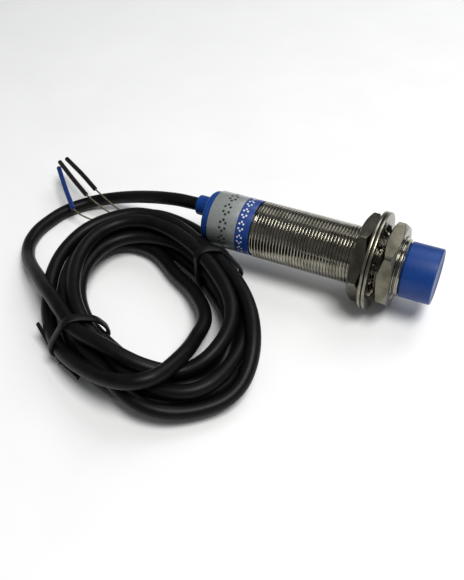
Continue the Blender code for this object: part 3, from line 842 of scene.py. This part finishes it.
def thread_skin(start, end):
    """Points and faces of a one-start helical ridge, held between two stations."""
    root = THREAD_R - THREAD_DEPTH
    crest = THREAD_R - CREST_ROUNDING
    ridge = [(0.00, root), (0.10, root), (0.38, crest), (0.46, THREAD_R), (0.54, THREAD_R),
             (0.62, crest), (0.90, root)]
    n, step = THREAD_SEGMENTS, len(ridge)
    turns = int((end - start) / PITCH) + 3
    verts, faces = [], []
    for i in range(turns):
        for place, radius in ridge:
            for j in range(n):
                x = start + PITCH * (i - 1.5 + place + j / n)
                held = min(max(x, start), end)
                r = thread_radius(held, radius, start, end)
                verts.append(around(held, r, 2 * math.pi * j / n))
    rows = turns * step
    for i in range(rows - 1):
        for j in range(n - 1):
            faces.append((i * n + j, i * n + j + 1, (i + 1) * n + j + 1, (i + 1) * n + j))
        if i + 1 + step < rows:  # the last column meets the first one, a turn further on
            faces.append((i * n + n - 1, (i + step) * n, (i + step + 1) * n, (i + 1) * n + n - 1))
    return verts, faces


def make_barrel():
    """Nickel-plated tube with a real M18 x 1 helix and a plain tail under the label."""
    start, end = THREAD_REAR_X, CAP_REAR_X
    verts, faces = thread_skin(start, end)
    rear = LABEL_REAR_X + LABEL_MARGIN
    outline = [(start, THREAD_END_R), (start, TAIL_R), (rear, TAIL_R), (rear, BORE_R),
               (end, BORE_R), (end, THREAD_END_R)]
    n, first = THREAD_SEGMENTS, len(verts)
    verts += [around(x, r, 2 * math.pi * j / n) for x, r in outline for j in range(n)]
    faces += skin_faces(len(outline), n, False, first)
    made = mesh_piece("threaded_barrel", verts, faces, 50)
    show(made, "nickel", stands_for=("barrel",))


CUP_R = 6.6 * MM  # inside the sensing cap
CUP_WALL = 1.0 * MM
CAP_ROUNDING = 0.55 * MM
FACE_RIM, FACE_DIP = 1.5 * MM, 0.12 * MM  # width of the rim and how far the face lies below it


def make_sensing_cap():
    """Blue cup with a softly rounded rim round its flat sensing face."""
    x0, rear = low("sensing_cap").x, CAP_REAR_X + 0.3 * MM
    rounded = soften([(rear, SPIGOT_R), (rear, CAP_R), (FACE_X, CAP_R), (FACE_X, 0)],
                     CAP_ROUNDING, 5, closed=False)
    rim, face = CAP_R - FACE_RIM, FACE_X - FACE_DIP
    outline = [(x0, CUP_R), (x0, SPIGOT_R), (rear, SPIGOT_R), *rounded[1:-1], (FACE_X, rim),
               (face, rim - 0.2 * MM), (face, 0), (FACE_X - CUP_WALL, 0),
               (FACE_X - CUP_WALL, CUP_R)]
    show(turned("sensing_cup", outline, 128), "blue_plastic", stands_for=("sensing_cap",))


REAR_SPIGOT_X = -26.2 * MM  # front end of the rear cap's spigot
SHOULDER = 1.3 * MM  # rounding of the rear cap's outer edge
SHOULDER_STEPS = 12
FLANGE_BREAK = 0.2 * MM
NECK_FOOT = 0.5 * MM  # fillet between the flange and the neck
NECK_FOOT_STEPS = 6
HOLE_PLAY = 0.15 * MM


def flange_outline():
    """Half section of the rear cap without its neck, as (x, radius) points."""
    front = LABEL_REAR_X - LABEL_MARGIN
    made = [(REAR_SPIGOT_X, 0), (REAR_SPIGOT_X, SPIGOT_R), (front, SPIGOT_R),
            (front, FLANGE_R - FLANGE_BREAK), (front - FLANGE_BREAK, FLANGE_R)]
    for i in range(SHOULDER_STEPS + 1):
        a = math.radians(90 * i / SHOULDER_STEPS)
        made.append((FLANGE_REAR_X + SHOULDER * (1 - math.sin(a)),
                     FLANGE_R - SHOULDER * (1 - math.cos(a))))
    return made + [(FLANGE_REAR_X, 0)]


def neck_outline():
    """Half section of the cable neck, with a fillet at its foot and a softened end."""
    inner = FLANGE_REAR_X + 2 * MM
    made = [(inner, 0), (inner, NECK_R + NECK_FOOT)]
    for i in range(NECK_FOOT_STEPS + 1):
        rise = math.sin(math.radians(90 * i / NECK_FOOT_STEPS))
        made.append((FLANGE_REAR_X - NECK_FOOT * rise, NECK_R + NECK_FOOT * (1 - rise) ** 1.6))
    return made + [(NECK_END_X + 0.5 * MM, NECK_R), (NECK_END_X + 0.15 * MM, NECK_R - 0.12 * MM),
                   (NECK_END_X, NECK_R - 0.45 * MM), (NECK_END_X, 0)]


def make_rear_cap():
    """Blue end cap: rounded flange with an off-centre neck, a cable hole and a lens hole."""
    cap = turned("end_cap", flange_outline(), 96, closed=False)
    unite(cap, turned("neck", neck_outline(), 64, NECK_Y, closed=False))
    end = REAR_SPIGOT_X + 1 * MM
    for hole_r, y, mouth in ((CABLE_R + HOLE_PLAY, NECK_Y, NECK_END_X),
                             (WINDOW_R + HOLE_PLAY, WINDOW_Y, FLANGE_REAR_X)):
        start = mouth - 1 * MM
        hole = [(start, 0), (start, hole_r), (end, hole_r), (end, 0)]
        unite(cap, turned("hole", hole, 48, y, closed=False), "DIFFERENCE")
    show(cap, "blue_plastic", stands_for=("rear_cap",))


# ---------------------------------------------------------------- label


def make_label():
    """Printed film sleeve with softened edges."""
    inner, front = LABEL_R - LABEL_THICK, high("label").x
    outline = soften([(LABEL_REAR_X, inner), (LABEL_REAR_X, LABEL_R), (front, LABEL_R),
                      (front, inner)], 0.05 * MM, 2)
    show(turned("label_sleeve", outline, 128), "label_foil", stands_for=("label",))


INK_LIFT = 0.012 * MM
INK_THICK = 0.01 * MM
PATCH_STEP = math.radians(3)
SQUARE_SHARE = 0.84  # of a mark's cell that its square fills


def film_patch(verts, faces, x0, x1, a0, a1):
    """A printed patch that follows the sleeve between two stations and two angles."""
    steps = max(1, math.ceil(abs(a1 - a0) / PATCH_STEP))
    first = len(verts)
    for i in range(steps + 1):
        a = a0 + (a1 - a0) * i / steps
        verts += [around(x, LABEL_R + INK_LIFT, a) for x in (x0, x1)]
    for i in range(steps):
        k = first + 2 * i
        faces.append((k, k + 1, k + 3, k + 2))


# The filled squares of the two zigzag marks in a cell two wide and three high: (across, up)
MARKS = [[(0, 0), (1, 1), (0, 2)], [(1, 0), (0, 1), (1, 2)]]


def printed_row(name, slot, start_angle, spacing, count, x_base, height):
    """A row of marks of small squares, unlike any writing, that runs round the sleeve."""
    verts, faces = [], []
    cell = height / 3
    wide = SQUARE_SHARE * cell
    for n in range(count):
        for across, up in MARKS[n % 2]:
            angle = start_angle - n * spacing - across * cell / LABEL_R
            x = x_base + up * cell
            film_patch(verts, faces, x, x + wide, angle, angle - wide / LABEL_R)
    data = bpy.data.meshes.new(name)
    data.from_pydata(verts, [], faces)
    made = link(name, data)
    solid = made.modifiers.new("ink", "SOLIDIFY")
    solid.thickness = INK_THICK
    solid.offset = -1
    show(made, slot)


# Name, look, first angle and spacing in degrees, count, place along the barrel and height
PRINTED_ROWS = (
    ("label_marks_black", "black_ink", 128, 17, 11, -26.9 * MM, 2.7 * MM),
    ("label_marks_white", "white_ink", 118, 14, 12, -20.5 * MM, 2.0 * MM),
)


def make_printing():
    """Generic marks in place of the label's lettering."""
    for name, slot, start, spacing, count, x, height in PRINTED_ROWS:
        printed_row(name, slot, math.radians(start), math.radians(spacing), count, x, height)


# ---------------------------------------------------------------- nuts and washers

# Degrees from a corner at which a nut has points, up to the middle of a side
CORNER_STEPS = (0.0, 0.5, 1.0, 1.7, 2.6, 4.0, 6.5, 10.0, 15.0, 20.0, 25.0)
CORNER_SHARPNESS = 90  # the higher, the smaller the rounding
NUT_CHAMFER = math.radians(30)
COUNTERSINK = 0.55 * MM
NUT_FACE_R = NUT_AF / 2 - 0.05 * MM


def corner_angles():
    """Angles round a hexagon, closer together near its corners, from one corner on."""
    made = []
    for side in range(6):
        made += [60 * side + a for a in CORNER_STEPS]
        made += [60 * side + 30]
        made += [60 * side + 60 - a for a in reversed(CORNER_STEPS[1:])]
    return [math.radians(a) for a in made]


def hexagon_radius(angle):
    """Radius of a hexagon across NUT_AF flats, its corners very slightly rounded."""
    total = 0.0
    for side in range(6):
        c = math.cos(angle - math.radians(60 * side + 30))
        if c > 0:
            total += c ** CORNER_SHARPNESS
    return NUT_AF / 2 / total ** (1 / CORNER_SHARPNESS)


def nut_profile(r, thick):
    """Section of a nut where it reaches radius `r`, as (depth, radius) from face to face."""
    rise = (r - NUT_FACE_R) * math.tan(NUT_CHAMFER)
    front = [(COUNTERSINK, NUT_BORE_R), (0.0, NUT_BORE_R + COUNTERSINK),
             (0.0, NUT_FACE_R - 0.15 * MM), (0.015 * MM, NUT_FACE_R),
             (max(rise - 0.03 * MM, 0.02 * MM), max(r - 0.08 * MM, NUT_FACE_R)),
             (rise + 0.10 * MM, r)]
    return front + [(thick - depth, q) for depth, q in reversed(front)]


def make_nut(node):
    """Thin hexagon nut: chamfered corners, flat turned faces and a countersunk bore."""
    x0, x1 = low(node).x, high(node).x
    turn = math.radians(NUT_TURNS[node])
    angles = corner_angles()
    columns = [nut_profile(hexagon_radius(a), x1 - x0) for a in angles]
    rows = len(columns[0])
    verts = [around(x0 + columns[j][i][0], columns[j][i][1], angles[j] + turn)
             for i in range(rows) for j in range(len(angles))]
    made = mesh_piece(node + "_body", verts, skin_faces(rows, len(angles), True), 24)
    show(made, "nickel_nut", node, stands_for=(node,))


# The body that each washer rides on, the twist of its teeth and how far they stand forward
WASHERS = {
    "rear_lock_washer": ("rear_washer", math.radians(8), 0.0),
    "front_lock_washer": ("front_washer", math.radians(35), 0.5 * MM),
}


def washer_columns(twist, forward):
    """(angle, tooth, offset) round a washer; each tooth has its own steep edges."""
    half = math.asin(TOOTH_HALF_WIDTH / TOOTH_MIDDLE_R)
    made = []
    for i in range(TEETH):
        middle = 2 * math.pi * i / TEETH
        for k in range(7):
            a = middle - half + 2 * half * k / 6
            made.append((a, True, forward + math.tan(twist) * (a - middle) * TOOTH_MIDDLE_R))
        gap_start = middle + half + TOOTH_NICK
        gap_end = middle + 2 * math.pi / TEETH - half - TOOTH_NICK
        for k in range(6):
            made.append((gap_start + (gap_end - gap_start) * k / 5, False, 0.0))
    return made


def washer_section(x0, tooth, offset):
    """Closed section of a washer, through a tooth or between two, as (x, radius) points."""
    x1, mid = x0 + WASHER_THICK, x0 + WASHER_THICK / 2
    edge = 0.18 * MM
    bevel = 0.3 * edge
    ring = WASHER_RING_R + 0.1 * MM
    root = WASHER_RING_R - (0.25 * MM if tooth else 0.05 * MM)
    tip = TOOTH_TIP_R if tooth else WASHER_RING_R - 0.1 * MM
    slim, tip_break = (0.15 * MM, 0.1 * MM) if tooth else (0.0, 0.0)
    bent = 0.6 * offset
    return [
        (x0, ring), (x0, WASHER_R - edge), (x0 + bevel, WASHER_R - bevel), (x0 + edge, WASHER_R),
        (x1 - edge, WASHER_R), (x1 - bevel, WASHER_R - bevel), (x1, WASHER_R - edge), (x1, ring),
        (x1 - slim + bent, root), (x1 - slim + offset, tip + tip_break),
        (mid + 0.2 * MM + offset, tip), (mid - 0.2 * MM + offset, tip),
        (x0 + slim + offset, tip + tip_break), (x0 + slim + bent, root),
    ]


def make_washer(node):
    """Internal-tooth lock washer: stamped ring with rounded edges and twisted teeth."""
    body, twist, forward = WASHERS[node]
    x0 = high(WASHER_BEHIND[node]).x + STACK_GAP
    columns = washer_columns(twist, forward)
    sections = [washer_section(x0, tooth, offset) for _, tooth, offset in columns]
    rows = len(sections[0])
    verts = [around(sections[j][i][0], sections[j][i][1], columns[j][0])
             for i in range(rows) for j in range(len(columns))]
    made = mesh_piece(node + "_ring", verts, skin_faces(rows, len(columns), True), 35)
    show(made, "zinc", body, stands_for=(node,))


# ---------------------------------------------------------------- stage

FLOOR_HALF = 1.6
FLOOR_TONES = ((0.90, 0.90, 0.90, 1), (0.93, 0.93, 0.93, 1))
# Name, place, side, power in watts and tint of each soft box
LIGHTS = (
    ("key", (0.27, -0.14, 0.76), 0.34, 5.6, (1.0, 0.995, 0.98)),
    ("rim", (0.10, 0.45, 0.60), 0.45, 1.6, (0.98, 0.99, 1.0)),
)
SURROUND = (0.85, 0.87, 0.9, 1)
SURROUND_STRENGTH = 0.22


def make_floor():
    corners = [(x * FLOOR_HALF, y * FLOOR_HALF, 0) for x, y in ((-1, -1), (1, -1), (1, 1), (-1, 1))]
    data = bpy.data.meshes.new("floor")
    data.from_pydata(corners, [], [(0, 1, 2, 3)])
    floor = link("floor", data)
    data.materials.append(mottled("floor_paper", *FLOOR_TONES, 30, (0.7, 0.8)))


def make_stage():
    """Pale floor, soft boxes and a dim grey surround."""
    make_floor()
    for name, place, size, power, tint in LIGHTS:
        light = bpy.data.lights.new(name, "AREA")
        light.size = size
        light.energy = power
        light.color = tint
        lamp = link(name, light)
        lamp.location = place
        lamp.rotation_euler = (-Vector(place)).to_track_quat("-Z", "Y").to_euler()
    world = bpy.data.worlds.new("surround")
    world.use_nodes = True
    background = world.node_tree.nodes["Background"]
    background.inputs["Color"].default_value = SURROUND
    background.inputs["Strength"].default_value = SURROUND_STRENGTH
    bpy.context.scene.world = world
    bpy.context.scene.view_settings.view_transform = "Standard"


def main():
    make_camera()
    cable, cable_path = make_cable()
    ties = make_ties(cable_path)
    wires = make_wires()
    make_barrel()
    make_sensing_cap()
    make_rear_cap()
    make_label()
    make_printing()
    for node in NUT_TURNS:
        make_nut(node)
    for node in WASHERS:
        make_washer(node)
    dress_cad_nodes()
    make_stage()


main()
